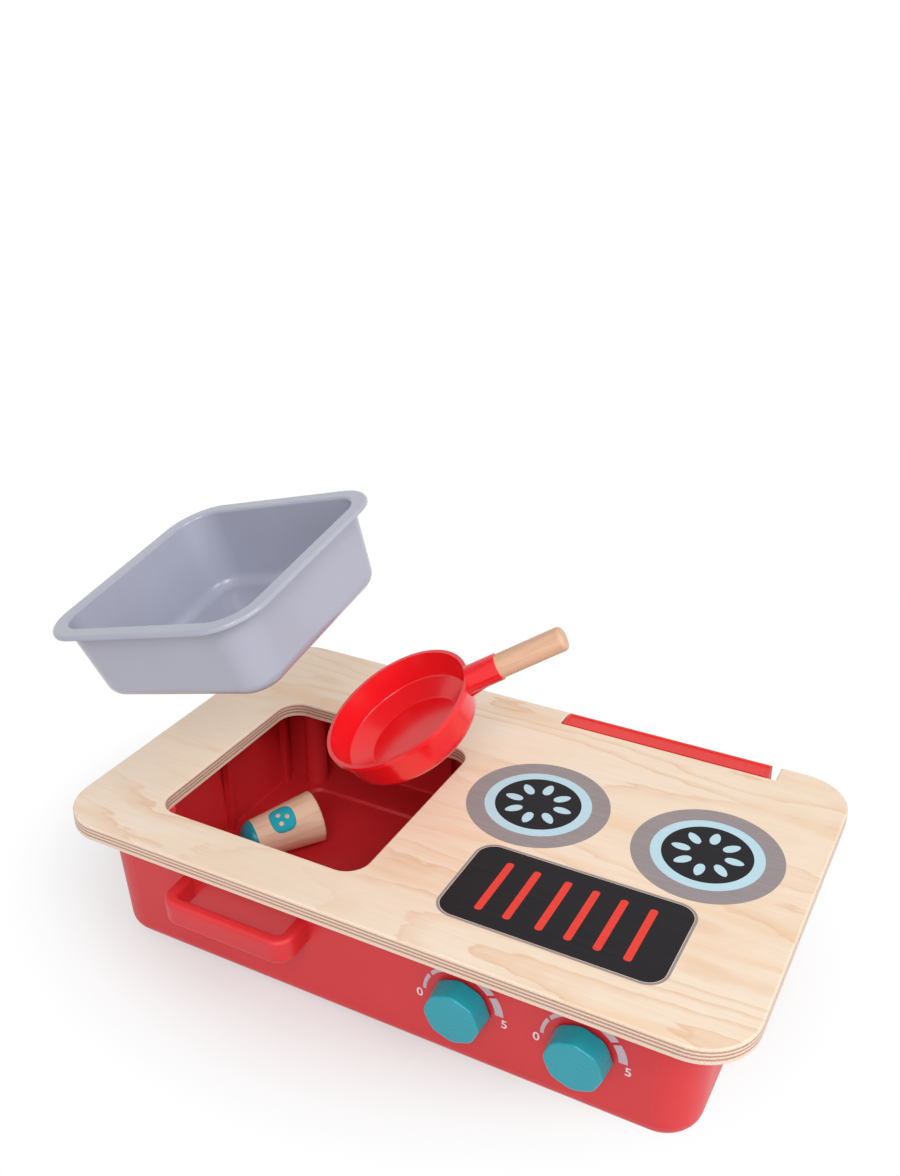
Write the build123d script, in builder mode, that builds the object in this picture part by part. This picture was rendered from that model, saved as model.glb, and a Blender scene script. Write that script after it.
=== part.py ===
import os
from math import atan2, cos, radians, sin
from build123d import *

os.makedirs("parts", exist_ok=True)

# Tabletop play kitchen, in millimetres. X runs to the right, Y to the back and Z up.
# The origin lies on the floor, under the middle of the worktop.

# Worktop
top_length = 400.0
top_depth = 240.0
top_thickness = 9.0
top_corner = 30.0
top_edge_round = 1.2
worktop_under = 76.0

# Cut-out for the basin, with its distances from the left edge and the front edge
cut_length = 134.2
cut_depth = 135.5
cut_inset_x = 48.9
cut_inset_y = 32.75
cut_corner = 13.5

# Notch in the back edge, with its distance from the right edge
notch_length = 137.9
notch_depth = 14.7
notch_inset = 44.6
notch_corner = 1.0

# Tub
overhang_x = 19.0
overhang_y = 12.6
tub_flare = 5.35
tub_low_corner = 20.6
tub_wall = 2.5
tub_floor = 2.6
tub_floor_round = 9.1
tub_inner_round = 2.0

# Foot panel that the tub stands on, with its distances from the tub's lower edge
panel_inset_x = 26.65
panel_inset_y = 33.05
panel_corner = 8.0
panel_wall = 2.5
panel_slope = 45.0
foot_height = 1.7

# Corner columns and the screws of the worktop
column_inset_x = 21.65
column_inset_y = 23.05
column_radius = 7.5
column_bore = 4.3
column_seat = 14.0
screw_shank = 1.6
screw_clearance = 0.4
screw_head = 3.6
screw_head_height = 2.2
screw_bite = 6.0
recess_length = 5.0
recess_width = 1.0
recess_depth = 0.9

# Stiffening ribs inside the tub
rib_thickness = 3.0
rib_reach = 5.0
side_rib_ys = [3.0, 66.0]
back_rib_xs = [-125.0, -58.0]

# Knobs, the right one placed from the right end of the tub
knob_inset = 61.0
knob_pitch = 65.0
knob_rise = 43.5
knob_low_radius = 16.1
knob_face_radius = 15.2
knob_face_out = 13.0
knob_lobes = 8
knob_lobe_depth = 0.55
knob_face_round = 1.2
ring_thickness = 1.3
ring_outer = 14.2
ring_gap = 0.2
shaft_radius = 5.0
shaft_gap = 0.08
boss_radius = 9.0
boss_height = 4.0
spigot_radius = 3.6
spigot_flat = 2.4
washer_radius = 8.0
washer_thickness = 2.0
washer_gap = 0.15
tab_reach = 11.6
tab_width = 4.0
stop_outer = 13.4
stop_gap = 0.45
knob_screw_depth = 7.0
knob_screw_head = 4.6

# Handle on the front wall, placed from the left end of the tub
handle_inset = 61.4
handle_length = 83.1
handle_rise = 45.0
handle_height = 15.0
handle_out = 22.0
handle_bar = 7.2
handle_outer_corner = 10.5
handle_inner_corner = 4.0
handle_edge_round = 2.5
handle_screw_bite = 9.0

# Rail in the notch
rail_left_gap = 1.1
rail_right_gap = 5.3
rail_front_gap = 0.5
rail_back_inset = 0.9
rail_corner = 1.2
rail_lip_height = 0.6
rail_lip_width = 1.6
rail_drop = 18.0
rail_inset = 26.0
rail_screw_drop = 9.0
rail_screw_bite = 6.0

# Basin, with sizes measured from the plane on top of its rim
basin_gap_x = 2.3
basin_gap_y = 3.05
basin_rim_reach = 7.4
basin_rim_corner = 26.8
basin_rim_height = 2.4
basin_rim_round = 1.7
basin_mouth_corner = 17.8
basin_wall = 1.6
basin_taper = 4.6
basin_depth = 48.9
basin_floor = 1.8
basin_floor_round = 9.2
basin_rim_gap = 0.3

# Pan, with heights measured from its rim
pan_rim_radius = 46.0
pan_low_radius = 40.0
pan_height = 25.0
pan_wall = 1.8
pan_floor = 2.6
pan_low_round = 9.5
pan_band_radius = 28.8
pan_band_rise = 7.0
pan_band_round = 1.5
pan_bead = 0.5
pan_bead_height = 3.0
socket_radius = 8.0
socket_reach = 65.0
socket_drop = 3.0
gusset_root = 38.0
gusset_width = 5.0
gusset_reach = 53.0
gusset_drop = 12.0
dowel_radius = 7.1
dowel_reach = 106.0
dowel_seat = 49.0
dowel_round = 2.8
pan_gap = 0.3

# Burner that the pan stands on, placed from the right edge of the worktop
burner_inset = 59.2
burner_y = 17.2

# Shaker on the panel of the tub
shaker_wide_radius = 17.25
shaker_neck_radius = 12.9
shaker_length = 43.0
shaker_edge_round = 1.5
shaker_x = -117.4
shaker_y = 23.1
shaker_heading = 235.55
shaker_gap = 0.3
spout_radius = 8.5
spout_length = 5.0
cap_dome = 9.0

# Lift of the basin out of the cut-out, as a turn about a leaning line
basin_turn = 19.143
basin_turn_line = (0.5193, -0.8545, -0.0126)
basin_turn_point = (-602.86, -17.01, 5.83)

# Lift of the pan off the burner, as a turn about another leaning line
pan_turn = 53.48
pan_turn_line = (0.1778, -0.5526, 0.8143)
pan_turn_point = (51.16, -143.95, 20.51)
pan_seat_heading = -19.55

# How far a cutting shape runs past a wall, and a quarter of a turn
cut_margin = 1.0
quarter_turn = 90.0

# Places that follow from the sizes above
top_z = worktop_under + top_thickness
floor_z = foot_height + tub_floor
tub_rise = worktop_under - foot_height
tub_top_half_x = top_length / 2 - overhang_x
tub_top_half_y = top_depth / 2 - overhang_y
tub_low_half_x = tub_top_half_x - tub_flare
tub_low_half_y = tub_top_half_y - tub_flare
tub_top_corner = tub_low_corner + tub_flare
lean = atan2(tub_flare, tub_rise)
cut_x = -top_length / 2 + cut_inset_x + cut_length / 2
cut_y = -top_depth / 2 + cut_inset_y + cut_depth / 2
notch_right = top_length / 2 - notch_inset
notch_left = notch_right - notch_length
notch_front = top_depth / 2 - notch_depth
rail_left = notch_left + rail_left_gap
rail_right = notch_right - rail_right_gap
rail_front = notch_front + rail_front_gap
rail_back = top_depth / 2 - rail_back_inset
panel_length = 2 * (tub_low_half_x - panel_inset_x)
panel_depth = 2 * (tub_low_half_y - panel_inset_y)
column_x = tub_low_half_x - column_inset_x
column_y = tub_low_half_y - column_inset_y
knob_right_x = tub_top_half_x - knob_inset
knob_xs = [knob_right_x - knob_pitch, knob_right_x]
handle_left = handle_inset - tub_top_half_x
handle_right = handle_left + handle_length
burner_x = top_length / 2 - burner_inset

# Planes that lie on the outside of the front wall and of the back wall
front_up = Vector(0, -sin(lean), cos(lean))
front_out = Vector(0, -cos(lean), -sin(lean))
back_out = Vector(0, cos(lean), -sin(lean))
front = Plane(origin=(0, -tub_low_half_y, foot_height), x_dir=(1, 0, 0), z_dir=front_out)
back = Plane(origin=(0, tub_low_half_y, foot_height), x_dir=(-1, 0, 0), z_dir=back_out)
wall_in = tub_wall * cos(lean)

# Tub: drafted walls, rounded floor edge, pressed panel, columns, ribs, bosses and stops
screw_seat_z = worktop_under - column_seat
column_spots = [(sx * column_x, sy * column_y) for sx in (-1, 1) for sy in (-1, 1)]
knob_spots = [(x, knob_rise) for x in knob_xs]
handle_arms = [
    (handle_left + handle_bar / 2, handle_rise + handle_height / 2),
    (handle_right - handle_bar / 2, handle_rise + handle_height / 2),
]
rail_rise = tub_rise / cos(lean) - rail_screw_drop
rail_spots = [(-rail_left - rail_inset, rail_rise), (-rail_right + rail_inset, rail_rise)]
boss_end = tub_wall + boss_height
stop_end = boss_end + washer_gap + washer_thickness + washer_gap

with BuildPart() as tub:
    with BuildSketch(Plane.XY.offset(foot_height)):
        RectangleRounded(2 * tub_low_half_x, 2 * tub_low_half_y, tub_low_corner)
    with BuildSketch(Plane.XY.offset(worktop_under)):
        RectangleRounded(2 * tub_top_half_x, 2 * tub_top_half_y, tub_top_corner)
    loft(ruled=True)
    low_edges = tub.faces().sort_by(Axis.Z)[0].outer_wire().edges()
    fillet(low_edges, tub_floor_round)
    inner_shift = tub_flare * tub_floor / tub_rise - tub_wall
    with BuildSketch(Plane.XY.offset(floor_z)):
        RectangleRounded(
            2 * (tub_low_half_x + inner_shift),
            2 * (tub_low_half_y + inner_shift),
            tub_low_corner + inner_shift,
        )
    with BuildSketch(Plane.XY.offset(worktop_under)):
        RectangleRounded(
            2 * (tub_top_half_x - tub_wall), 2 * (tub_top_half_y - tub_wall), tub_top_corner - tub_wall
        )
    loft(ruled=True, mode=Mode.SUBTRACT)
    fillet(tub.faces().filter_by(Plane.XY).sort_by(Axis.Z)[1].outer_wire().edges(), tub_inner_round)
    # Floor panel, pressed down to make the foot
    with BuildSketch(Plane.XY):
        RectangleRounded(
            panel_length + 2 * panel_wall, panel_depth + 2 * panel_wall, panel_corner + panel_wall
        )
    extrude(amount=foot_height)
    with BuildSketch(Plane.XY.offset(tub_floor)):
        RectangleRounded(panel_length, panel_depth, panel_corner)
    extrude(amount=foot_height, taper=-panel_slope, mode=Mode.SUBTRACT)
    # Columns from the floor to the worktop
    with BuildSketch(Plane.XY.offset(foot_height + tub_floor / 2)):
        with Locations(column_spots):
            Circle(column_radius)
    extrude(amount=worktop_under - foot_height - tub_floor / 2)
    # Webs that tie each column to its side wall
    with BuildSketch(Plane.XY.offset(floor_z - tub_floor / 2)):
        for x, y in column_spots:
            with Locations((x + (tub_low_half_x - column_x) / 2 * (1 if x > 0 else -1), y)):
                Rectangle(tub_low_half_x - column_x - tub_wall, rib_thickness)
    extrude(amount=worktop_under - floor_z + tub_floor / 2)
    # Ribs on the left wall and on the back wall
    with BuildSketch(Plane.XY.offset(floor_z - tub_floor / 2)):
        for y in side_rib_ys:
            with Locations((-(tub_low_half_x - tub_wall / 2 - rib_reach / 2), y)):
                Rectangle(rib_reach, rib_thickness)
        for x in back_rib_xs:
            with Locations((x, tub_low_half_y - tub_wall / 2 - rib_reach / 2)):
                Rectangle(rib_thickness, rib_reach)
    extrude(amount=worktop_under - floor_z + tub_floor / 2)
    # Bosses behind the knobs, then the stop around the lower half of each one
    with BuildSketch(front.offset(-tub_wall / 2)):
        with Locations(knob_spots):
            Circle(boss_radius)
    extrude(amount=-(boss_end - tub_wall / 2))
    with BuildSketch(front.offset(-tub_wall / 2)):
        for x in knob_xs:
            with Locations((x, knob_rise)):
                Circle(stop_outer)
            with Locations((x, knob_rise)):
                Circle(washer_radius + stop_gap, mode=Mode.SUBTRACT)
            with Locations((x, knob_rise - tab_width / 2 - stop_gap + stop_outer)):
                Rectangle(2 * stop_outer, 2 * stop_outer, mode=Mode.SUBTRACT)
    extrude(amount=-(stop_end - tub_wall / 2))
    # Bores for the knob shafts, the handle screws and the rail screws
    with BuildSketch(front.offset(cut_margin)):
        with Locations(knob_spots):
            Circle(shaft_radius + shaft_gap)
    extrude(amount=-(boss_end + 2 * cut_margin), mode=Mode.SUBTRACT)
    with BuildSketch(front.offset(cut_margin)):
        with Locations(handle_arms):
            Circle(screw_shank + screw_clearance)
    extrude(amount=-(tub_wall + 2 * cut_margin), mode=Mode.SUBTRACT)
    with BuildSketch(back.offset(cut_margin)):
        with Locations(rail_spots):
            Circle(screw_shank + screw_clearance)
    extrude(amount=-(tub_wall + 2 * cut_margin), mode=Mode.SUBTRACT)
    # Deep bores from below, each with a seat near its top for the screw head
    with BuildSketch(Plane.XY):
        with Locations(column_spots):
            Circle(column_bore)
    extrude(amount=screw_seat_z, mode=Mode.SUBTRACT)
    with BuildSketch(Plane.XY):
        with Locations(column_spots):
            Circle(screw_shank + screw_clearance)
    extrude(amount=worktop_under, mode=Mode.SUBTRACT)
tub.part.label = "tub"
export_step(tub.part, "parts/tub.step")

# Worktop: one sheet with the cut-out, the notch and blind holes for its screws
with BuildPart() as worktop:
    with BuildSketch(Plane.XY.offset(worktop_under)):
        RectangleRounded(top_length, top_depth, top_corner)
        with Locations((cut_x, cut_y)):
            RectangleRounded(cut_length, cut_depth, cut_corner, mode=Mode.SUBTRACT)
        notch_middle = (notch_left + notch_right) / 2
        with Locations((notch_middle, notch_front + top_depth / 2)):
            RectangleRounded(notch_length, top_depth, notch_corner, mode=Mode.SUBTRACT)
    extrude(amount=top_thickness)
    fillet(worktop.faces().sort_by(Axis.Z)[-1].edges(), top_edge_round)
    with BuildSketch(Plane.XY.offset(worktop_under)):
        with Locations(column_spots):
            Circle(screw_shank)
    extrude(amount=screw_bite, mode=Mode.SUBTRACT)
worktop.part.label = "worktop"
export_step(worktop.part, "parts/worktop.step")

# Screws of the worktop, heads on the seats inside the columns
with BuildPart() as worktop_screws:
    with BuildSketch(Plane.XY.offset(screw_seat_z)):
        with Locations(column_spots):
            Circle(screw_shank)
    extrude(amount=column_seat + screw_bite)
    with BuildSketch(Plane.XY.offset(screw_seat_z)):
        with Locations(column_spots):
            Circle(screw_head)
    extrude(amount=-screw_head_height)
    with BuildSketch(Plane.XY.offset(screw_seat_z - screw_head_height)):
        with Locations(column_spots):
            Rectangle(recess_length, recess_width)
            Rectangle(recess_width, recess_length)
    extrude(amount=recess_depth, mode=Mode.SUBTRACT)
worktop_screws.part.label = "worktop_screws"
export_step(worktop_screws.part, "parts/worktop_screws.step")

# Handle: a rounded bow in plan, with two arms that end on the front wall
handle_low = front.origin + front_up * handle_rise
handle_plane = Plane(origin=handle_low, x_dir=(1, 0, 0), z_dir=front_up)
handle_middle = (handle_left + handle_right) / 2

with BuildPart() as front_handle:
    with BuildSketch(handle_plane):
        with Locations((handle_middle, 0)):
            RectangleRounded(handle_length, 2 * handle_out, handle_outer_corner)
            RectangleRounded(
                handle_length - 2 * handle_bar,
                2 * (handle_out - handle_bar),
                handle_inner_corner,
                mode=Mode.SUBTRACT,
            )
    extrude(amount=handle_height)
    handle_rise_axis = Axis(handle_low, front_up)
    fillet(front_handle.faces().sort_by(handle_rise_axis)[0].edges(), handle_edge_round)
    fillet(front_handle.faces().sort_by(handle_rise_axis)[-1].edges(), handle_edge_round)
    split(bisect_by=front, keep=Keep.TOP)
    with BuildSketch(front):
        with Locations(handle_arms):
            Circle(screw_shank)
    extrude(amount=handle_screw_bite, mode=Mode.SUBTRACT)
front_handle.part.label = "front_handle"
export_step(front_handle.part, "parts/front_handle.step")

# Handle screws, put in from inside the tub
with BuildPart() as handle_screws:
    with BuildSketch(front.offset(-tub_wall)):
        with Locations(handle_arms):
            Circle(screw_shank)
    extrude(amount=tub_wall + handle_screw_bite)
    with BuildSketch(front.offset(-wall_in)):
        with Locations(handle_arms):
            Circle(screw_head)
    extrude(amount=-screw_head_height)
    with BuildSketch(front.offset(-wall_in - screw_head_height)):
        with Locations(handle_arms):
            Rectangle(recess_length, recess_width)
            Rectangle(recess_width, recess_length)
    extrude(amount=recess_depth, mode=Mode.SUBTRACT)
handle_screws.part.label = "handle_screws"
export_step(handle_screws.part, "parts/handle_screws.step")

# Rail: a block on top of the back wall, with a skirt down the outside of it
rail_side = Plane(origin=(rail_left, 0, 0), x_dir=(0, 1, 0), z_dir=(1, 0, 0))
rail_low_z = worktop_under - rail_drop
wall_low_y = tub_top_half_y - rail_drop * tub_flare / tub_rise

with BuildPart() as rear_rail:
    with BuildSketch(rail_side):
        with BuildLine():
            Polyline(
                (rail_front, top_z),
                (rail_front, worktop_under),
                (tub_top_half_y, worktop_under),
                (wall_low_y, rail_low_z),
                ((wall_low_y + rail_back) / 2, rail_low_z),
                (rail_back, rail_low_z + rail_drop / 2),
                (rail_back, top_z),
                close=True,
            )
        make_face()
    extrude(amount=rail_right - rail_left)
    fillet(rear_rail.edges().filter_by(Axis.Z).group_by(Axis.Y)[0], rail_corner)
    with BuildSketch(Plane.XY.offset(top_z)):
        with Locations(((rail_left + rail_right) / 2, (rail_front + rail_back) / 2)):
            RectangleRounded(
                rail_right - rail_left - 2 * rail_lip_width,
                rail_back - rail_front - 2 * rail_lip_width,
                rail_corner - rail_lip_width / 2,
            )
    extrude(amount=-rail_lip_height, mode=Mode.SUBTRACT)
    with BuildSketch(back):
        with Locations(rail_spots):
            Circle(screw_shank)
    extrude(amount=rail_screw_bite, mode=Mode.SUBTRACT)
rear_rail.part.label = "rear_rail"
export_step(rear_rail.part, "parts/rear_rail.step")

# Rail screws, put in from inside the tub
with BuildPart() as rear_rail_screws:
    with BuildSketch(back.offset(-tub_wall)):
        with Locations(rail_spots):
            Circle(screw_shank)
    extrude(amount=tub_wall + rail_screw_bite)
    with BuildSketch(back.offset(-wall_in)):
        with Locations(rail_spots):
            Circle(screw_head)
    extrude(amount=-screw_head_height)
    with BuildSketch(back.offset(-wall_in - screw_head_height)):
        with Locations(rail_spots):
            Rectangle(recess_length, recess_width)
            Rectangle(recess_width, recess_length)
    extrude(amount=recess_depth, mode=Mode.SUBTRACT)
rear_rail_screws.part.label = "rear_rail_screws"
export_step(rear_rail_screws.part, "parts/rear_rail_screws.step")

# Knobs, each with its ring, stop washer and screw
knob_low_out = ring_thickness + ring_gap
spigot_start = boss_end + washer_gap
spigot_end = spigot_start + washer_thickness
for name, knob_x in zip(("left", "right"), knob_xs):
    centre = front.origin + front_up * knob_rise + Vector(knob_x, 0, 0)
    knob_plane = Plane(origin=centre, x_dir=(1, 0, 0), z_dir=front_out)

    with BuildPart() as knob:
        with BuildSketch(knob_plane.offset(knob_low_out)):
            with BuildLine():
                low_points = []
                for i in range(2 * knob_lobes):
                    reach = knob_low_radius - knob_lobe_depth * (i % 2)
                    angle = 180.0 * i / knob_lobes
                    low_points.append((reach * cos(radians(angle)), reach * sin(radians(angle))))
                Spline(low_points, periodic=True)
            make_face()
        with BuildSketch(knob_plane.offset(knob_face_out)):
            with BuildLine():
                face_points = []
                for i in range(2 * knob_lobes):
                    reach = knob_face_radius - knob_lobe_depth * (i % 2)
                    angle = 180.0 * i / knob_lobes
                    face_points.append((reach * cos(radians(angle)), reach * sin(radians(angle))))
                Spline(face_points, periodic=True)
            make_face()
        loft(ruled=True)
        fillet(knob.edges().sort_by(Axis((0, 0, 0), front_out))[-1], knob_face_round)
        with BuildSketch(knob_plane.offset(knob_low_out)):
            Circle(shaft_radius)
        extrude(amount=-(knob_low_out + boss_end + washer_gap))
        with BuildSketch(knob_plane.offset(-spigot_start)):
            Circle(spigot_radius)
            with Locations((0, spigot_flat + spigot_radius)):
                Rectangle(2 * spigot_radius, 2 * spigot_radius, mode=Mode.SUBTRACT)
        extrude(amount=-washer_thickness)
        with BuildSketch(knob_plane.offset(-spigot_end)):
            Circle(screw_shank)
        extrude(amount=knob_screw_depth, mode=Mode.SUBTRACT)
    knob.part.label = "knob_" + name
    export_step(knob.part, "parts/knob_" + name + ".step")

    with BuildPart() as knob_ring:
        with BuildSketch(knob_plane):
            Circle(ring_outer)
            Circle(shaft_radius + ring_gap, mode=Mode.SUBTRACT)
        extrude(amount=ring_thickness)
    knob_ring.part.label = "knob_ring_" + name
    export_step(knob_ring.part, "parts/knob_ring_" + name + ".step")

    with BuildPart() as knob_washer:
        with BuildSketch(knob_plane.offset(-spigot_start)):
            Circle(washer_radius)
            with Locations((-tab_reach / 2, 0)):
                Rectangle(tab_reach, tab_width)
            Circle(spigot_radius, mode=Mode.SUBTRACT)
        extrude(amount=-washer_thickness)
        with BuildSketch(knob_plane.offset(-spigot_start)):
            Circle(spigot_radius)
            with Locations((0, spigot_flat - spigot_radius)):
                Rectangle(2 * spigot_radius, 2 * spigot_radius, mode=Mode.SUBTRACT)
        extrude(amount=-washer_thickness)
    knob_washer.part.label = "knob_washer_" + name
    export_step(knob_washer.part, "parts/knob_washer_" + name + ".step")

    with BuildPart() as knob_screw:
        with BuildSketch(knob_plane.offset(-spigot_end)):
            Circle(screw_shank)
        extrude(amount=knob_screw_depth)
        with BuildSketch(knob_plane.offset(-spigot_end)):
            Circle(knob_screw_head)
        extrude(amount=-screw_head_height)
        with BuildSketch(knob_plane.offset(-spigot_end - screw_head_height)):
            Rectangle(recess_length, recess_width)
            Rectangle(recess_width, recess_length)
        extrude(amount=recess_depth, mode=Mode.SUBTRACT)
    knob_screw.part.label = "knob_screw_" + name
    export_step(knob_screw.part, "parts/knob_screw_" + name + ".step")

# Basin, drawn in the place it is lifted to: its seat in the cut-out, turned about its lift line
basin_line = Axis((0, 0, 0), basin_turn_line)
basin_pivot = Vector(*basin_turn_point)
basin_seat = Vector(cut_x, cut_y, top_z + basin_rim_gap + basin_rim_height)
basin_plane = Plane(
    origin=basin_pivot + (basin_seat - basin_pivot).rotate(basin_line, basin_turn),
    x_dir=Vector(1, 0, 0).rotate(basin_line, basin_turn),
    z_dir=Vector(0, 0, 1).rotate(basin_line, basin_turn),
)
basin_axis = Axis(basin_plane.origin, basin_plane.z_dir)
basin_x = cut_length - 2 * basin_gap_x
basin_y = cut_depth - 2 * basin_gap_y
mouth_x = basin_x - 2 * basin_wall
mouth_y = basin_y - 2 * basin_wall
rim_x = basin_x + 2 * basin_rim_reach
rim_y = basin_y + 2 * basin_rim_reach
floor_shrink = 2 * basin_taper * (basin_depth - basin_floor) / basin_depth

with BuildPart() as basin_hollow:
    with BuildSketch(basin_plane.offset(basin_floor - basin_depth)):
        RectangleRounded(mouth_x - floor_shrink, mouth_y - floor_shrink, basin_mouth_corner - basin_wall)
    with BuildSketch(basin_plane):
        RectangleRounded(mouth_x, mouth_y, basin_mouth_corner)
    loft(ruled=True)
    fillet(basin_hollow.faces().sort_by(basin_axis)[0].outer_wire().edges(), basin_floor_round - basin_wall)

with BuildPart() as basin:
    with BuildSketch(basin_plane.offset(-basin_depth)):
        RectangleRounded(basin_x - 2 * basin_taper, basin_y - 2 * basin_taper, basin_mouth_corner)
    with BuildSketch(basin_plane):
        RectangleRounded(basin_x, basin_y, basin_mouth_corner + basin_wall)
    loft(ruled=True)
    fillet(basin.faces().sort_by(basin_axis)[0].outer_wire().edges(), basin_floor_round)
    with BuildSketch(basin_plane.offset(-basin_rim_height)):
        RectangleRounded(rim_x, rim_y, basin_rim_corner)
    extrude(amount=basin_rim_height)
    fillet(basin.faces().sort_by(basin_axis)[-1].outer_wire().edges(), basin_rim_round)
    # Hollow under the rim, inside its turned-down lip
    with BuildSketch(basin_plane.offset(-basin_rim_height)):
        RectangleRounded(rim_x - 2 * basin_wall, rim_y - 2 * basin_wall, basin_rim_corner - basin_wall)
        RectangleRounded(basin_x, basin_y, basin_mouth_corner + basin_wall, mode=Mode.SUBTRACT)
    extrude(amount=basin_rim_height - basin_wall, mode=Mode.SUBTRACT)
    add(basin_hollow.part, mode=Mode.SUBTRACT)
    mouth_face = basin.faces().sort_by(basin_axis)[-1]
    fillet(mouth_face.inner_wires()[0].edges(), basin_wall)
basin.part.label = "basin"
export_step(basin.part, "parts/basin.step")

# Pan, drawn in the place it is lifted to: its seat on the burner, turned about its lift line
pan_line = Axis((0, 0, 0), pan_turn_line)
pan_pivot = Vector(*pan_turn_point)
pan_seat = Vector(burner_x, burner_y, top_z + pan_gap + pan_height)
seat_x = Vector(cos(radians(pan_seat_heading)), sin(radians(pan_seat_heading)), 0)
pan_plane = Plane(
    origin=pan_pivot + (pan_seat - pan_pivot).rotate(pan_line, pan_turn),
    x_dir=seat_x.rotate(pan_line, pan_turn),
    z_dir=Vector(0, 0, 1).rotate(pan_line, pan_turn),
)
pan_axis = Axis(pan_plane.origin, pan_plane.z_dir)
pan_side = Plane(origin=pan_plane.origin, x_dir=pan_plane.x_dir, z_dir=-pan_plane.y_dir)
pan_slope = (pan_rim_radius - pan_low_radius) / pan_height
pan_lip_radius = pan_rim_radius - pan_bead_height * pan_slope
pan_mouth_radius = pan_rim_radius - pan_wall
pan_band_z = pan_floor - pan_height + pan_band_rise
socket_mouth = Plane(
    origin=pan_plane.origin + pan_plane.x_dir * socket_reach - pan_plane.z_dir * socket_drop,
    x_dir=pan_plane.y_dir,
    z_dir=pan_plane.x_dir,
)

with BuildPart() as pan_bowl:
    with BuildSketch(pan_side) as outer_profile:
        with BuildLine():
            Polyline(
                (0, -pan_height),
                (pan_low_radius, -pan_height),
                (pan_lip_radius, -pan_bead_height),
                (pan_rim_radius + pan_bead, -pan_bead_height + pan_bead),
                (pan_rim_radius + pan_bead, 0),
                (0, 0),
                close=True,
            )
        make_face()
        fillet(outer_profile.vertices().group_by(Axis.Y)[0].sort_by(Axis.X)[-1], pan_low_round)
    revolve(axis=pan_axis)
    # Socket and the gusset under it
    with BuildSketch(socket_mouth):
        Circle(socket_radius)
    extrude(amount=-(socket_reach - pan_low_radius))
    with BuildSketch(pan_side.offset(-gusset_width / 2)):
        with BuildLine():
            Polyline(
                (gusset_root, -socket_drop),
                (gusset_reach, -socket_drop),
                (gusset_reach, -socket_drop - socket_radius),
                (gusset_root, -gusset_drop - pan_wall),
                close=True,
            )
        make_face()
    extrude(amount=gusset_width)
    # Inside of the bowl: flat floor, sloping band, wall, and the space above the rim
    with BuildSketch(pan_side) as inner_profile:
        with BuildLine():
            Polyline(
                (0, pan_floor - pan_height),
                (pan_band_radius, pan_floor - pan_height),
                (pan_mouth_radius + pan_slope * pan_band_z, pan_band_z),
                (pan_mouth_radius, 0),
                (pan_rim_radius + pan_bead, 0),
                (pan_rim_radius + pan_bead, socket_radius),
                (0, socket_radius),
                close=True,
            )
        make_face()
        fillet(inner_profile.vertices().group_by(Axis.Y)[0].sort_by(Axis.X)[-1], pan_band_round)
        fillet(inner_profile.vertices().group_by(Axis.Y)[-3].sort_by(Axis.X)[-1], pan_band_round)
    revolve(axis=pan_axis, mode=Mode.SUBTRACT)
    # Bore for the dowel
    with BuildSketch(socket_mouth):
        Circle(dowel_radius)
    extrude(amount=-(socket_reach - dowel_seat), mode=Mode.SUBTRACT)
pan_bowl.part.label = "pan_bowl"
export_step(pan_bowl.part, "parts/pan_bowl.step")

with BuildPart() as pan_handle:
    with BuildSketch(socket_mouth.offset(dowel_seat - socket_reach)):
        Circle(dowel_radius)
    extrude(amount=dowel_reach - dowel_seat)
    dowel_axis = Axis(socket_mouth.origin, socket_mouth.z_dir)
    fillet(pan_handle.edges().sort_by(dowel_axis)[-1], dowel_round)
pan_handle.part.label = "pan_handle"
export_step(pan_handle.part, "parts/pan_handle.step")

# Shaker: a turned cone with its side on the pressed panel of the tub, and a domed cap
cone_half = atan2(shaker_wide_radius - shaker_neck_radius, shaker_length)
shaker_ahead = Vector(cos(radians(shaker_heading)), sin(radians(shaker_heading)), 0)
shaker_dir = shaker_ahead * cos(cone_half) - Vector(0, 0, 1) * sin(cone_half)
shaker_up = shaker_ahead * sin(cone_half) + Vector(0, 0, 1) * cos(cone_half)
shaker_z = tub_floor + shaker_gap + shaker_wide_radius * cos(cone_half)
shaker_origin = Vector(shaker_x, shaker_y, shaker_z)
shaker_side = Plane(origin=shaker_origin, x_dir=shaker_dir, z_dir=shaker_dir.cross(shaker_up))
shaker_axis = Axis(shaker_origin, shaker_dir)
shaker_neck = Plane(origin=shaker_origin + shaker_dir * shaker_length, x_dir=shaker_up, z_dir=shaker_dir)

with BuildPart() as shaker_body:
    with BuildSketch(shaker_side) as turned:
        with BuildLine():
            Polyline(
                (0, 0),
                (0, shaker_wide_radius),
                (shaker_length, shaker_neck_radius),
                (shaker_length, 0),
                close=True,
            )
        make_face()
        fillet(turned.vertices().group_by(Axis.X)[0].sort_by(Axis.Y)[-1], shaker_edge_round)
    revolve(axis=shaker_axis)
    with BuildSketch(shaker_neck):
        Circle(spout_radius)
    extrude(amount=spout_length)
shaker_body.part.label = "shaker_body"
export_step(shaker_body.part, "parts/shaker_body.step")

with BuildPart() as shaker_cap:
    with BuildSketch(shaker_side):
        with BuildLine():
            EllipticalCenterArc(
                (shaker_length, 0), cap_dome, shaker_neck_radius, 0, arc_size=quarter_turn
            )
            Polyline(
                (shaker_length, shaker_neck_radius), (shaker_length, 0), (shaker_length + cap_dome, 0)
            )
        make_face()
    revolve(axis=shaker_axis)
    with BuildSketch(shaker_neck):
        Circle(spout_radius)
    extrude(amount=spout_length, mode=Mode.SUBTRACT)
shaker_cap.part.label = "shaker_cap"
export_step(shaker_cap.part, "parts/shaker_cap.step")
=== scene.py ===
from math import copysign, cos, pi, radians, sin, sqrt

import bmesh
import bpy
from mathutils import Matrix, Vector


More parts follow.
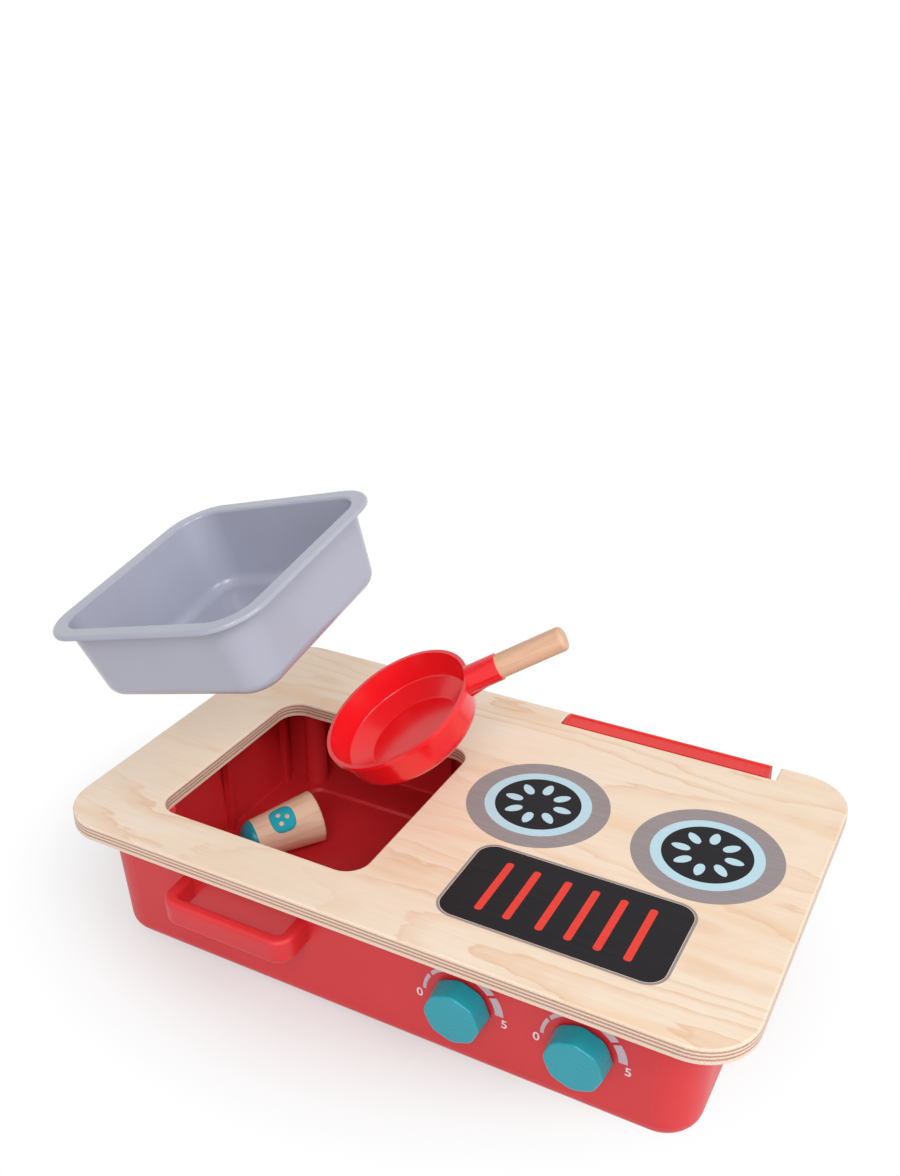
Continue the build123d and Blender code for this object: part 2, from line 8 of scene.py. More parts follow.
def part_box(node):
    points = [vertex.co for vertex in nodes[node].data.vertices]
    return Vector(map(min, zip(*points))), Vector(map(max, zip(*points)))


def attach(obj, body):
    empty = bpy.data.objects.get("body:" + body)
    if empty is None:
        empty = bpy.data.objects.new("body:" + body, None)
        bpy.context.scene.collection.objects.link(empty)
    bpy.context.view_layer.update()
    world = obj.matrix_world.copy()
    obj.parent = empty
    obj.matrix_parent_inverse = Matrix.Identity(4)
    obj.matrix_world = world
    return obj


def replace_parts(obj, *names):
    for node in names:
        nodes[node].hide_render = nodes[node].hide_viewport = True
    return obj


MM = 0.001

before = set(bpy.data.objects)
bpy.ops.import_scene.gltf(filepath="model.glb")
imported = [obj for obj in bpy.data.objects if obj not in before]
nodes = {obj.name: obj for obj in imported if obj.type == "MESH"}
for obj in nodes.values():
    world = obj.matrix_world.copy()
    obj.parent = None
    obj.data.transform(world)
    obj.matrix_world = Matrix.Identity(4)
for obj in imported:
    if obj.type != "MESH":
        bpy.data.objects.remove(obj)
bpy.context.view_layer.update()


# Colours are written as they look on screen, from 0 to 255, and turned to the renderer's linear values
def colour(red, green, blue):
    linear = []
    for value in (red, green, blue):
        share = value / 255
        linear.append(share / 12.92 if share <= 0.04045 else ((share + 0.055) / 1.055) ** 2.4)
    return (*linear, 1.0)


def grey(level):
    return (level, level, level, 1.0)


BLACK, WHITE = grey(0.0), grey(1.0)


# Materials
class Shader:
    """One material with its main shader, and short calls that add nodes to it."""

    def __init__(self, name, roughness, coat=0.0, specular=0.5):
        self.material = bpy.data.materials.new(name)
        self.material.use_nodes = True
        self.tree = self.material.node_tree
        self.main = self.tree.nodes["Principled BSDF"]
        self.main.inputs["Roughness"].default_value = roughness
        self.main.inputs["Coat Weight"].default_value = coat
        self.main.inputs["Coat Roughness"].default_value = 0.12
        self.main.inputs["Specular IOR Level"].default_value = specular
        self.place = self.tree.nodes.new("ShaderNodeTexCoord").outputs["Object"]

    def link(self, source, target):
        self.tree.links.new(source, target)

    def feed(self, value, slot):
        """Links another node's output to a slot, or sets the slot to a number or a colour."""
        if isinstance(value, bpy.types.NodeSocket):
            self.link(value, slot)
        else:
            slot.default_value = value

    def stretch(self, sizes, place=None):
        """Coordinates scaled along each axis: the larger the number, the finer the figure along it."""
        node = self.tree.nodes.new("ShaderNodeMapping")
        node.inputs["Scale"].default_value = sizes
        self.link(place or self.place, node.inputs["Vector"])
        return node.outputs["Vector"]

    def lengthwise(self, direction):
        """The object's own coordinates, turned so that X runs along a direction of the object."""
        node = self.tree.nodes.new("ShaderNodeMapping")
        to_x = Vector(direction).rotation_difference(Vector((1, 0, 0)))
        node.inputs["Rotation"].default_value = to_x.to_euler()
        self.link(self.place, node.inputs["Vector"])
        return node.outputs["Vector"]

    def noise(self, place, scale, detail=3.0, rough=0.5, distortion=0.0):
        node = self.tree.nodes.new("ShaderNodeTexNoise")
        node.inputs["Scale"].default_value = scale
        node.inputs["Detail"].default_value = detail
        node.inputs["Roughness"].default_value = rough
        node.inputs["Distortion"].default_value = distortion
        self.link(place, node.inputs["Vector"])
        return node.outputs["Fac"]

    def fibres(self):
        """Fine fibres along X, shared by the board's face and the inks printed on it."""
        return self.noise(self.stretch((22.0, 650.0, 22.0)), 1.0, 3.0, 0.6)

    def height(self, place=None):
        node = self.tree.nodes.new("ShaderNodeSeparateXYZ")
        self.link(place or self.place, node.inputs[0])
        return node.outputs["Z"]

    def ramp(self, value, stops, smooth=True):
        node = self.tree.nodes.new("ShaderNodeValToRGB")
        node.color_ramp.interpolation = "EASE" if smooth else "CONSTANT"
        steps = node.color_ramp.elements
        while len(steps) < len(stops):
            steps.new(0.5)
        for step, (position, shade) in zip(steps, stops):
            step.position = position
            step.color = shade
        self.link(value, node.inputs["Fac"])
        return node.outputs["Color"]

    def mix(self, share, first, second, blend="MIX"):
        node = self.tree.nodes.new("ShaderNodeMix")
        node.data_type = "RGBA"
        node.blend_type = blend
        for name, value in (("Factor", share), ("A", first), ("B", second)):
            self.feed(value, [slot for slot in node.inputs if slot.name == name and slot.enabled][0])
        return [slot for slot in node.outputs if slot.enabled][0]

    def math(self, kind, first, second=0.0):
        node = self.tree.nodes.new("ShaderNodeMath")
        node.operation = kind
        self.feed(first, node.inputs[0])
        self.feed(second, node.inputs[1])
        return node.outputs[0]

    def spread(self, value, low, high):
        node = self.tree.nodes.new("ShaderNodeMapRange")
        node.inputs["To Min"].default_value = low
        node.inputs["To Max"].default_value = high
        self.link(value, node.inputs["Value"])
        return node.outputs["Result"]

    def bump(self, value, depth):
        node = self.tree.nodes.new("ShaderNodeBump")
        node.inputs["Distance"].default_value = depth
        node.inputs["Strength"].default_value = 1.0
        self.link(value, node.inputs["Height"])
        self.link(node.outputs["Normal"], self.main.inputs["Normal"])

    def paint(self, value):
        self.link(value, self.main.inputs["Base Color"])

    def gloss(self, value):
        self.link(value, self.main.inputs["Roughness"])


def moulded(name, base, darker, roughness, coat=0.0, grain=0.02 * MM, glow=0.0):
    """Moulded plastic: slight colour drift, fine surface texture, faint rub marks in the gloss."""
    shader = Shader(name, roughness, coat)
    shader.main.inputs["Subsurface Weight"].default_value = glow
    shader.main.inputs["Subsurface Scale"].default_value = 3 * MM
    shader.main.inputs["Subsurface Radius"].default_value = (1.0, 0.12, 0.12)
    drift = shader.noise(shader.place, 14.0, 2.0)
    shader.paint(shader.ramp(drift, [(0.25, darker), (0.75, base)]))
    rubs = shader.noise(shader.stretch((60.0, 60.0, 400.0)), 1.0, 4.0, 0.6)
    shader.gloss(shader.spread(rubs, roughness - 0.02, roughness + 0.04))
    shader.bump(shader.noise(shader.place, 2600.0, 2.0), grain)
    return shader.material


def turned_wood(name, light, dark, ahead):
    """Round wood: fibres along one direction, short dark flecks and a soft lacquer."""
    shader = Shader(name, 0.5, 0.12)
    place = shader.lengthwise(ahead)
    soft = shader.noise(shader.stretch((14.0, 260.0, 260.0), place), 1.0, 4.0, 0.6, 0.4)
    flecks = shader.noise(shader.stretch((160.0, 1100.0, 1100.0), place), 1.0, 2.0)
    base = shader.ramp(soft, [(0.3, dark), (0.62, light)])
    fleck_share = shader.ramp(flecks, [(0.66, BLACK), (0.74, grey(0.35))])
    shader.paint(shader.mix(fleck_share, base, dark))
    shader.bump(soft, 0.01 * MM)
    return shader.material


# Thickness of each ply in millimetres, from below
PLIES = (2.1, 1.2, 1.0, 1.1, 1.1, 1.0, 1.5)

# How many growth rings the veneer's slow drift crosses, and how far jags and turns push a ring aside
RINGS_ACROSS, JAG_REACH, TURN_REACH = 15.0, 0.5, 0.35


def growth_rings(shader):
    """Rings that the veneer cuts through: lines with one sharp side, jagged where they turn back."""
    wander = shader.noise(shader.stretch((2.4, 11.0, 11.0)), 1.0, 2.0, 0.45)
    jags = shader.noise(shader.stretch((26.0, 230.0, 26.0)), 1.0, 3.0, 0.6)
    turns = shader.noise(shader.stretch((75.0, 26.0, 26.0)), 1.0, 1.0)
    growth = shader.math("MULTIPLY", wander, RINGS_ACROSS)
    growth = shader.math("ADD", growth, shader.math("MULTIPLY", jags, JAG_REACH))
    growth = shader.math("ADD", growth, shader.math("MULTIPLY", turns, TURN_REACH))
    sharp, soft = grey(0.8), grey(0.4)
    stops = [(0.0, sharp), (0.1, soft), (0.42, BLACK), (0.95, BLACK), (1.0, sharp)]
    rings = shader.ramp(shader.math("FRACT", growth), stops)
    where = shader.noise(shader.stretch((5.0, 9.0, 5.0)), 1.0, 2.0)
    return shader.mix(1.0, rings, shader.ramp(where, [(0.36, grey(0.1)), (0.62, WHITE)]), "MULTIPLY")


def veneer(shader, fibres):
    """The board's face: broad pale clouds, warm streaks, growth rings and fine fibres."""
    clouds = shader.noise(shader.stretch((9.0, 16.0, 16.0)), 1.0, 4.0, 0.6, 0.5)
    streaks = shader.noise(shader.stretch((5.5, 48.0, 5.5)), 1.0, 4.0, 0.55, 0.5)
    warm, middling, pale = colour(244, 219, 192), colour(247, 225, 201), colour(248, 229, 209)
    streak_share = shader.ramp(streaks, [(0.52, BLACK), (0.72, grey(0.75))])
    fibre_share = shader.ramp(fibres, [(0.35, grey(0.22)), (0.6, BLACK)])
    face = shader.ramp(clouds, [(0.3, warm), (0.5, middling), (0.7, pale)])
    face = shader.mix(streak_share, face, colour(243, 207, 170))
    face = shader.mix(growth_rings(shader), face, colour(232, 190, 152))
    return shader.mix(fibre_share, face, colour(236, 205, 173))


def ply_edge(shader, speckle):
    """The board's edge: light and dark plies by height, speckled with end grain."""
    low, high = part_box("worktop")
    rise = shader.math("DIVIDE", shader.math("SUBTRACT", shader.height(), low.z), high.z - low.z)
    stops = []
    position = 0.0
    for i, thickness in enumerate(PLIES):
        stops.append((position, WHITE if i % 2 else BLACK))
        position += thickness / sum(PLIES)
    is_dark_ply = shader.ramp(rise, stops, smooth=False)
    light = shader.ramp(speckle, [(0.3, colour(222, 196, 174)), (0.6, colour(242, 221, 201))])
    dark = shader.ramp(speckle, [(0.3, colour(170, 126, 102)), (0.65, colour(200, 160, 136))])
    knots = shader.noise(shader.stretch((120.0, 120.0, 900.0)), 1.0, 2.0)
    knot_share = shader.ramp(knots, [(0.68, BLACK), (0.74, grey(0.7))])
    return shader.mix(is_dark_ply, light, shader.mix(knot_share, dark, colour(110, 84, 76)))


def plywood(name):
    """Birch plywood: plies on the edge, and a flamed veneer on both faces."""
    shader = Shader(name, 0.42, 0.1)
    fibres = shader.fibres()
    speckle = shader.noise(shader.stretch((1500.0, 1500.0, 2500.0)), 1.0, 2.0)
    normal = shader.tree.nodes.new("ShaderNodeNewGeometry").outputs["Normal"]
    upness = shader.math("ABSOLUTE", shader.height(normal))
    is_face = shader.ramp(upness, [(0.55, BLACK), (0.85, WHITE)])
    shader.paint(shader.mix(is_face, ply_edge(shader, speckle), veneer(shader, fibres)))
    shader.bump(shader.mix(is_face, speckle, fibres), 0.04 * MM)
    return shader.material


def metal(name, shade, roughness):
    """Plated steel with fine turning marks."""
    shader = Shader(name, roughness)
    shader.main.inputs["Metallic"].default_value = 1.0
    marks = shader.noise(shader.stretch((900.0, 900.0, 4000.0)), 1.0, 2.0)
    darker = (*(0.8 * channel for channel in shade[:3]), 1.0)
    shader.paint(shader.ramp(marks, [(0.3, darker), (0.7, shade)]))
    shader.gloss(shader.spread(marks, roughness - 0.06, roughness + 0.1))
    return shader.material


def ink(name, shade, paler, roughness=0.6):
    """Screen-printed ink: nearly even, with the board's fibres showing faintly through."""
    shader = Shader(name, roughness, specular=0.15)
    fibres = shader.fibres()
    mottle = shader.noise(shader.place, 1400.0)
    shader.paint(shader.ramp(shader.math("MULTIPLY", fibres, mottle), [(0.15, shade), (0.45, paler)]))
    shader.bump(fibres, 0.02 * MM)
    return shader.material


# Lengthwise directions of the pan's dowel and of the lying shaker
DOWEL_AHEAD = (0.8051, 0.3387, 0.4869)
SHAKER_AHEAD = (-0.5628, -0.8204, -0.1006)

materials = {
    "plywood": plywood("plywood"),
    "red_tub": moulded("red_tub", colour(221, 48, 54), colour(214, 42, 49), 0.42, glow=0.35),
    "red_rail": moulded("red_rail", colour(233, 54, 48), colour(226, 48, 44), 0.45),
    "red_pan": moulded("red_pan", colour(242, 22, 32), colour(237, 18, 28), 0.22, 0.2, 0.004 * MM),
    "teal": moulded("teal", colour(4, 160, 176), colour(2, 152, 168), 0.27, 0.05, 0.004 * MM),
    "grey": moulded("grey", colour(174, 176, 192), colour(169, 171, 187), 0.24, 0.2, 0.004 * MM),
    "white_plastic": moulded("white_plastic", colour(225, 224, 218), colour(216, 214, 208), 0.5),
    "rubber": moulded("rubber", colour(34, 34, 38), colour(26, 26, 30), 0.75, 0.0, 0.03 * MM),
    "steel": metal("steel", colour(205, 205, 208), 0.3),
    "dowel": turned_wood("dowel", colour(226, 182, 150), colour(206, 158, 124), DOWEL_AHEAD),
    "shaker_wood": turned_wood("shaker_wood", colour(250, 214, 184), colour(236, 192, 160), SHAKER_AHEAD),
    "ink_black": ink("ink_black", colour(30, 28, 31), colour(38, 36, 39)),
    "ink_grey": ink("ink_grey", colour(152, 142, 143), colour(166, 155, 155)),
    "ink_blue": ink("ink_blue", colour(190, 222, 234), colour(200, 229, 239)),
    "ink_red": ink("ink_red", colour(232, 66, 56), colour(238, 76, 64)),
    "ink_teal": ink("ink_teal", colour(34, 184, 200), colour(44, 192, 208), 0.4),
    "ink_pale": ink("ink_pale", colour(205, 184, 192), colour(214, 196, 202)),
    "ink_white": ink("ink_white", colour(236, 226, 232), colour(242, 234, 238)),
}

finish = {
    "tub": "red_tub",
    "worktop": "plywood",
    "worktop_screws": "steel",
    "front_handle": "red_tub",
    "handle_screws": "steel",
    "rear_rail": "red_rail",
    "rear_rail_screws": "steel",
    "knob_left": "teal",
    "knob_right": "teal",
    "knob_ring_left": "rubber",
    "knob_ring_right": "rubber",
    "knob_washer_left": "white_plastic",
    "knob_washer_right": "white_plastic",
    "knob_screw_left": "steel",
    "knob_screw_right": "steel",
    "basin": "grey",
    "pan_bowl": "red_pan",
    "pan_handle": "dowel",
    "shaker_body": "shaker_wood",
    "shaker_cap": "teal",
}
for node_name, finish_name in finish.items():
    node_mesh = nodes[node_name].data
    node_mesh.materials.clear()
    node_mesh.materials.append(materials[finish_name])


# Outlines in millimetres
PETAL_FULLNESS = 2.16  # makes half_width the widest reach of the petal's outline


def petal(centre, near, far, half_width, heading, count=16):
    """A seed-shaped outline that points away from the centre, rounder at its near end."""
    sides = []
    for side in (-1, 1):
        for i in range(count + 1):
            share = i / count if side < 0 else 1 - i / count
            across = side * half_width * PETAL_FULLNESS * share**0.5 * (1 - share) ** 0.62
            along = near + (far - near) * share
            x = centre[0] + along * cos(heading) - across * sin(heading)
            y = centre[1] + along * sin(heading) + across * cos(heading)
            sides.append((x, y))
    # The two sides meet at both tips, where one point is enough
    return sides[:count] + sides[count + 1 : -1]


def round_box(low_x, high_x, low_y, high_y, radius, count=10):
    points = []
    corners = [(high_x, high_y, 0), (low_x, high_y, 1), (low_x, low_y, 2), (high_x, low_y, 3)]
    for x, y, quarter in corners:
        middle_x = x - radius if x == high_x else x + radius
        middle_y = y - radius if y == high_y else y + radius
        for i in range(count + 1):
            turn = pi / 2 * (quarter + i / count)
            points.append((middle_x + radius * cos(turn), middle_y + radius * sin(turn)))
    return points


def circle(centre, radius, count=96):
    turns = [2 * pi * i / count for i in range(count)]
    return [(centre[0] + radius * cos(turn), centre[1] + radius * sin(turn)) for turn in turns]


# Flat prints
INK_STEP = 0.04 * MM


def add_piece(name, mesh, body):
    piece = bpy.data.objects.new(name, mesh)
    bpy.context.scene.collection.objects.link(piece)
    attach(piece, body)
    return piece


def add_print(name, work, inks, body):
    """Turns the faces of a printed piece outward and adds it with its inks."""
    bmesh.ops.recalc_face_normals(work, faces=work.faces)
    mesh = bpy.data.meshes.new(name)
    work.to_mesh(mesh)
    work.free()
    for ink_name in inks:
        mesh.materials.append(materials[ink_name])
    add_piece(name, mesh, body)


def loop_at(work, plane, outline, height):
    """New points along an outline on a plane, at a height above it in metres."""
    return [work.verts.new(plane @ Vector((x * MM, y * MM, height))) for x, y in outline]


def slab(name, plane, shapes, body):
    """One printed piece of one or more shapes. Each shape is an outline, a layer and an ink."""
    work = bmesh.new()
    inks = []
    for outline, layer, ink_name in shapes:
        if ink_name not in inks:
            inks.append(ink_name)
        top = loop_at(work, plane, outline, INK_STEP * layer)
        low = loop_at(work, plane, outline, 0.0)
        faces = [work.faces.new(top)]
        for i in range(len(top)):
            faces.append(work.faces.new((top[i - 1], top[i], low[i], low[i - 1])))
        for face in faces:
            face.material_index = inks.index(ink_name)
    add_print(name, work, inks, body)


def ring(name, plane, inner, outer, ink_name, body):
    """One printed line between two outlines."""
    work = bmesh.new()
    inner_low, inner_top = (loop_at(work, plane, inner, height) for height in (0.0, INK_STEP))
    outer_low, outer_top = (loop_at(work, plane, outer, height) for height in (0.0, INK_STEP))
    for i in range(len(inner_low)):
        work.faces.new((inner_top[i - 1], inner_top[i], outer_top[i], outer_top[i - 1]))
        work.faces.new((outer_top[i - 1], outer_top[i], outer_low[i], outer_low[i - 1]))
        work.faces.new((inner_low[i - 1], inner_low[i], inner_top[i], inner_top[i - 1]))
    add_print(name, work, [ink_name], body)


top_plane = Matrix.Translation((0, 0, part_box("worktop")[1].z))

# Grill print: a dark field with red bars, and a grey line round it
grill_left, grill_right, grill_front, grill_back, grill_corner = 30.5, 151.2, -91.0, -29.5, 10.0
line_gap, line_width = 0.3, 1.4
bar_xs = [50.8, 66.5, 84.2, 99.7, 115.2, 131.0]
bar_half, bar_corner, bar_front, bar_back = 2.1, 1.7, -81.3, -39.5


def grill_outline(margin):
    return round_box(
        grill_left - margin,
        grill_right + margin,
        grill_front - margin,
        grill_back + margin,
        grill_corner + margin,
    )


grill_shapes = [(grill_outline(0.0), 1, "ink_black")]
for x in bar_xs:
    bar = round_box(x - bar_half, x + bar_half, bar_front, bar_back, bar_corner)
    grill_shapes.append((bar, 2, "ink_red"))
slab("grill_print", top_plane, grill_shapes, "base")
line_inner, line_outer = grill_outline(line_gap), grill_outline(line_gap + line_width)
ring("grill_border", top_plane, line_inner, line_outer, "ink_grey", "base")

# Burner prints: three discs on each other, and petals on the dark one
burners = {"left": (41.0, 17.2), "right": (140.8, 17.2)}
grey_radius, blue_radius, black_radius = 41.4, 30.8, 24.8
petal_count, petal_near, petal_far, petal_half = 8, 9.5, 20.3, 2.8
for side, centre in burners.items():
    shapes = [
        (circle(centre, grey_radius), 1, "ink_grey"),
        (circle(centre, blue_radius), 2, "ink_blue"),
        (circle(centre, black_radius), 3, "ink_black"),
    ]
    for i in range(petal_count):
        heading = 2 * pi * i / petal_count
        shapes.append((petal(centre, petal_near, petal_far, petal_half, heading), 4, "ink_blue"))
    slab("burner_print_" + side, top_plane, shapes, "base")


# The tub's outside: half sizes and corner of its underside, half depth at its top, and both heights
low_half_x, low_half_y, low_corner, top_half_y, low_z, top_z = 175.65, 102.05, 20.6, 107.4, 1.7, 76.0
edge_round = 9.1
wall_slope = (top_half_y - low_half_y) / (top_z - low_z)
TRIM_TOLERANCE = 0.05
MERGE_REACH = 0.001


def edge_reach(half, height):
    """How far out the rounded lower edge lies at a height, where the underside's half size is given."""
    middle = half + edge_round * (wall_slope - sqrt(1 + wall_slope**2))
    return middle + sqrt(edge_round**2 - (low_z + edge_round - height) ** 2)


def trimmed_tub():
    """The tub's own mesh, with the rib ends that stand out past its rounded lower edge laid back on it."""
    work = bmesh.new()
    work.from_mesh(nodes["tub"].data)
    sides = ((0, 1, low_half_x, low_half_y), (1, 0, low_half_y, low_half_x))
    edges = set()
    for point in work.verts:
        place = point.co / MM
        if not low_z < place.z < low_z + edge_round:
            continue
        for out, along, half, other_half in sides:
            reach = edge_reach(half, place.z)
            is_straight = abs(place[along]) < other_half - low_corner
            if is_straight and abs(place[out]) > reach + TRIM_TOLERANCE:
                point.co[out] = copysign(reach, place[out]) * MM
                edges.update(point.link_edges)
    bmesh.ops.dissolve_degenerate(work, dist=MERGE_REACH * MM, edges=list(edges))
    mesh = bpy.data.meshes.new("tub_trimmed")
    work.to_mesh(mesh)
    work.free()
    mesh.materials.append(materials[finish["tub"]])
    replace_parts(add_piece("tub_trimmed", mesh, "base"), "tub")


trimmed_tub()

# Dials on the front wall, in millimetres along the wall and up it
wall_up = Vector((0, low_half_y - top_half_y, top_z - low_z)).normalized()
wall_out = Vector((1, 0, 0)).cross(wall_up)
wall_plane = Matrix((Vector((1, 0, 0)), wall_up, wall_out)).transposed().to_4x4()
wall_plane.translation = Vector((0, -low_half_y, low_z)) * MM

dial_rise, dial_outer, dial_inner = 43.15, 22.7, 19.4
arc_ends = [(-88, -57), (-52, -20.6), (-15.6, 15.6), (20.6, 52), (57, 88.5)]
# The outer edge of each dial's arcs has its middle a little to the right of the inner edge's
dials = {"left": (55.4, 54.0), "right": (120.6, 119.2)}
number_size, number_weight = 7.6, 0.09
zero_left_by, zero_rise, five_right_by, five_rise = 24.8, 39.6, 23.0, 39.0


def arc_outline(outer_x, inner_x, start, end, count=14):
    points = []
    for i in range(count + 1):
        turn = radians(start + (end - start) * i / count)
        points.append((outer_x + dial_outer * sin(turn), dial_rise + dial_outer * cos(turn)))
    for i in range(count + 1):
        turn = radians(end + (start - end) * i / count)
        points.append((inner_x + dial_inner * sin(turn), dial_rise + dial_inner * cos(turn)))
    return points


def number(name, text, x, rise):
    """A plain printed number on the front wall."""
    curve = bpy.data.curves.new(name, "FONT")
    curve.body = text
    curve.size = number_size * MM
    curve.align_x = "CENTER"
    curve.align_y = "CENTER"
    curve.offset = number_weight * MM
    curve.extrude = INK_STEP / 2
    sample = bpy.data.objects.new(name + "_sample", curve)
    bpy.context.scene.collection.objects.link(sample)
    mesh = bpy.data.meshes.new_from_object(sample)
    bpy.data.objects.remove(sample)
    mesh.transform(wall_plane @ Matrix.Translation((x * MM, rise * MM, INK_STEP / 2)))
    mesh.materials.clear()
    mesh.materials.append(materials["ink_white"])
    add_piece(name, mesh, "base")


for side, (outer_x, inner_x) in dials.items():
    shapes = [(arc_outline(outer_x, inner_x, start, end), 1, "ink_pale") for start, end in arc_ends]
    slab("dial_print_" + side, wall_plane, shapes, "base")
    number("dial_low_" + side, "0", outer_x - zero_left_by, zero_rise)
    number("dial_high_" + side, "5", outer_x + five_right_by, five_rise)


# Patch on the shaker: a plain rounded shape with three dots, laid on the cone
shaker_start = Vector((-117.4, 23.1, 20.06))
shaker_ahead = Vector(SHAKER_AHEAD).normalized()
shaker_up = Vector((-0.0569, -0.0830, 0.9949)).normalized()
shaker_side = shaker_ahead.cross(shaker_up)
shaker_wide, shaker_neck, shaker_length = 17.25, 12.9, 43.0


def on_shaker(along, turn, rise):
    """A point on the shaker's cone, in metres: so far along it, so far round it, and so far off it."""
    reach = shaker_wide + (shaker_neck - shaker_wide) * along / shaker_length + rise
    out = shaker_up * cos(turn) + shaker_side * sin(turn)
    return (shaker_start + shaker_ahead * along + out * reach) * MM


def rounded_share(value, squareness):
    return copysign(abs(value) ** squareness, value)


def stickers(name, spots, body, spokes=48, rounds=8):
    """Patches bent round the cone, each with its middle, half sizes, squareness, layer and material."""
    work = bmesh.new()
    for index, (along, turn, half_along, half_turn, squareness, layer, _) in enumerate(spots):
        rise = INK_STEP * layer / MM
        middle = work.verts.new(on_shaker(along, turn, rise))
        levels = []
        # The last level lies under the one before it, as the patch's edge
        for j in range(1, rounds + 2):
            share = min(j, rounds) / rounds
            level_rise = rise if j <= rounds else 0.0
            level = []
            for i in range(spokes):
                angle = 2 * pi * i / spokes
                step_along = half_along * share * rounded_share(cos(angle), squareness)
                step_turn = half_turn * share * rounded_share(sin(angle), squareness)
                level.append(work.verts.new(on_shaker(along + step_along, turn + step_turn, level_rise)))
            levels.append(level)
        faces = []
        for i in range(spokes):
            faces.append(work.faces.new((middle, levels[0][i - 1], levels[0][i])))
            for inner, outer in zip(levels, levels[1:]):
                faces.append(work.faces.new((inner[i - 1], outer[i - 1], outer[i], inner[i])))
        for face in faces:
            face.material_index = index
            face.smooth = True
    add_print(name, work, [spot[-1] for spot in spots], body)


# Along the cone in millimetres and round it in degrees
patch_along, patch_turn, patch_half, patch_half_turn, patch_squareness = 24.5, -27, 8.0, 36, 0.72
dot_half, dot_half_turn, dot_squareness = 1.5, 5.8, 1.0
dot_steps = ((-3.2, 0), (1.8, 12), (1.8, -12))
patch_sizes = (patch_half, radians(patch_half_turn), patch_squareness)
dot_sizes = (dot_half, radians(dot_half_turn), dot_squareness)
spots = [(patch_along, radians(patch_turn), *patch_sizes, 1, "ink_teal")]
for step_along, step_turn in dot_steps:
    dot_middle = (patch_along + step_along, radians(patch_turn + step_turn))
    spots.append((*dot_middle, *dot_sizes, 2, "shaker_wood"))
stickers("shaker_patch", spots, "shaker")


# Floor, lights and camera, in metres
def looks(tree):
    """One for a ray from the camera, and for one that a shiny or clear surface sends on."""
    path = tree.nodes.new("ShaderNodeLightPath")
    value = path.outputs["Is Camera Ray"]
    for other in ("Is Glossy Ray", "Is Transmission Ray"):
        node = tree.nodes.new("ShaderNodeMath")
        node.operation = "MAXIMUM"
        tree.links.new(value, node.inputs[0])
        tree.links.new(path.outputs[other], node.inputs[1])
        value = node.outputs[0]
    return value


FLOOR_HALF = 8.0
FLOOR_COLOUR = (0.76, 0.72, 0.735, 1.0)
# The shade on the floor fades between these distances, measured in an oblong round the object
SHADE_STRETCH, SHADE_SHIFT = (1.0, 1.25, 1.0), (0.05, -0.03, 0.0)
SHADE_NEAR, SHADE_FAR, WHITE_SHARE_NEAR = 0.16, 0.28, 0.5


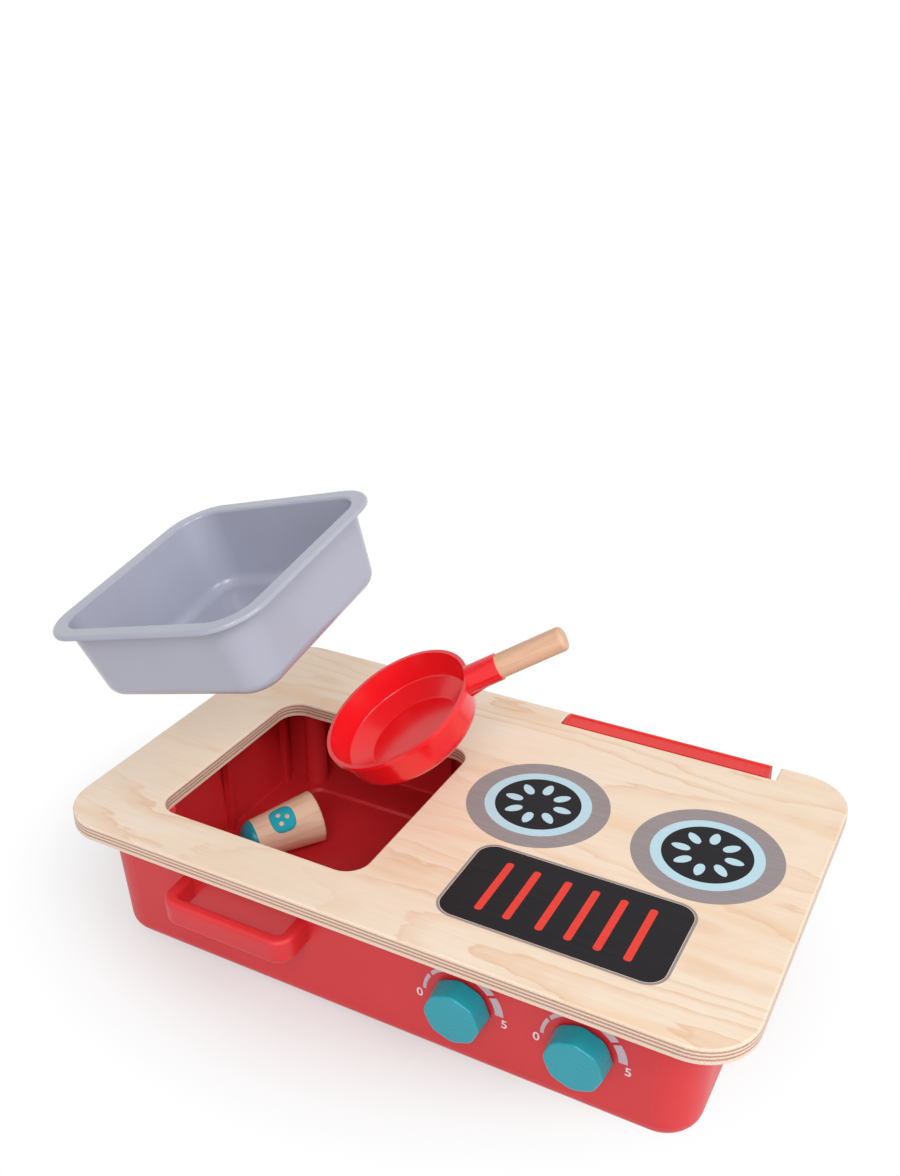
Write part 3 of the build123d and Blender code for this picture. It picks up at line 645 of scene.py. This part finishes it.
def floor():
    """A pale floor that takes shadows, and that looks white away from the object."""
    mesh = bpy.data.meshes.new("floor")
    corners = [(x * FLOOR_HALF, y * FLOOR_HALF, 0) for x, y in ((-1, -1), (1, -1), (1, 1), (-1, 1))]
    mesh.from_pydata(corners, [], [(0, 1, 2, 3)])
    piece = bpy.data.objects.new("floor", mesh)
    bpy.context.scene.collection.objects.link(piece)
    material = bpy.data.materials.new("floor")
    material.use_nodes = True
    tree = material.node_tree
    tree.nodes.clear()
    output = tree.nodes.new("ShaderNodeOutputMaterial")
    share = tree.nodes.new("ShaderNodeMixShader")
    diffuse = tree.nodes.new("ShaderNodeBsdfDiffuse")
    diffuse.inputs["Color"].default_value = FLOOR_COLOUR
    glow = tree.nodes.new("ShaderNodeEmission")
    place = tree.nodes.new("ShaderNodeTexCoord")
    oblong = tree.nodes.new("ShaderNodeMapping")
    oblong.inputs["Scale"].default_value = SHADE_STRETCH
    oblong.inputs["Location"].default_value = SHADE_SHIFT
    reach = tree.nodes.new("ShaderNodeVectorMath")
    reach.operation = "LENGTH"
    level = tree.nodes.new("ShaderNodeMapRange")
    level.interpolation_type = "SMOOTHSTEP"
    level.inputs["From Min"].default_value = SHADE_NEAR
    level.inputs["From Max"].default_value = SHADE_FAR
    level.inputs["To Min"].default_value = WHITE_SHARE_NEAR
    level.inputs["To Max"].default_value = 1.0
    part = tree.nodes.new("ShaderNodeMath")
    part.operation = "MULTIPLY"
    tree.links.new(place.outputs["Object"], oblong.inputs["Vector"])
    tree.links.new(oblong.outputs["Vector"], reach.inputs[0])
    tree.links.new(reach.outputs["Value"], level.inputs["Value"])
    tree.links.new(looks(tree), part.inputs[0])
    tree.links.new(level.outputs["Result"], part.inputs[1])
    tree.links.new(part.outputs[0], share.inputs["Fac"])
    tree.links.new(diffuse.outputs[0], share.inputs[1])
    tree.links.new(glow.outputs[0], share.inputs[2])
    tree.links.new(share.outputs[0], output.inputs["Surface"])
    mesh.materials.append(material)


def sky(strength):
    world = bpy.data.worlds.new("studio")
    bpy.context.scene.world = world
    world.use_nodes = True
    tree = world.node_tree
    background = tree.nodes["Background"]
    level = tree.nodes.new("ShaderNodeMapRange")
    level.inputs["To Min"].default_value = strength
    level.inputs["To Max"].default_value = 1.0
    tree.links.new(looks(tree), level.inputs["Value"])
    tree.links.new(level.outputs["Result"], background.inputs["Strength"])
    background.inputs["Color"].default_value = WHITE


LAMP_AIM = Vector((0, 0, 0.05))


def softbox(name, place, size, power):
    light = bpy.data.lights.new(name, "AREA")
    light.shape = "SQUARE"
    light.size = size
    light.energy = power
    lamp = bpy.data.objects.new(name, light)
    bpy.context.scene.collection.objects.link(lamp)
    lamp.location = place
    lamp.rotation_euler = (LAMP_AIM - Vector(place)).to_track_quat("-Z", "Y").to_euler()


floor()
sky(0.48)
softbox("key", place=(2.3, -0.4, 2.0), size=1.5, power=40)
softbox("fill", place=(0.7, -2.0, 1.8), size=1.1, power=27)

# The camera stands where the photograph was taken from
camera_place = Vector((0.2691, -0.5293, 0.4992))
camera_right = Vector((0.8856, 0.4645, 0.0030)).normalized()
camera_ahead = Vector((-0.4191, 0.8019, -0.4257)).normalized()
camera_up = camera_right.cross(camera_ahead).normalized()
image_height_px, focal_px, sensor_mm, clip_near = 1176, 1237.9, 36.0, 0.01
camera_data = bpy.data.cameras.new("camera")
camera_data.sensor_width = sensor_mm
camera_data.lens = focal_px / image_height_px * sensor_mm
camera_data.clip_start = clip_near
camera = bpy.data.objects.new("camera", camera_data)
bpy.context.scene.collection.objects.link(camera)
camera_turn = Matrix((camera_right, camera_up, -camera_ahead)).transposed().to_4x4()
camera.matrix_world = Matrix.Translation(camera_place) @ camera_turn
bpy.context.scene.camera = camera

bpy.context.scene.view_settings.view_transform = "Standard"
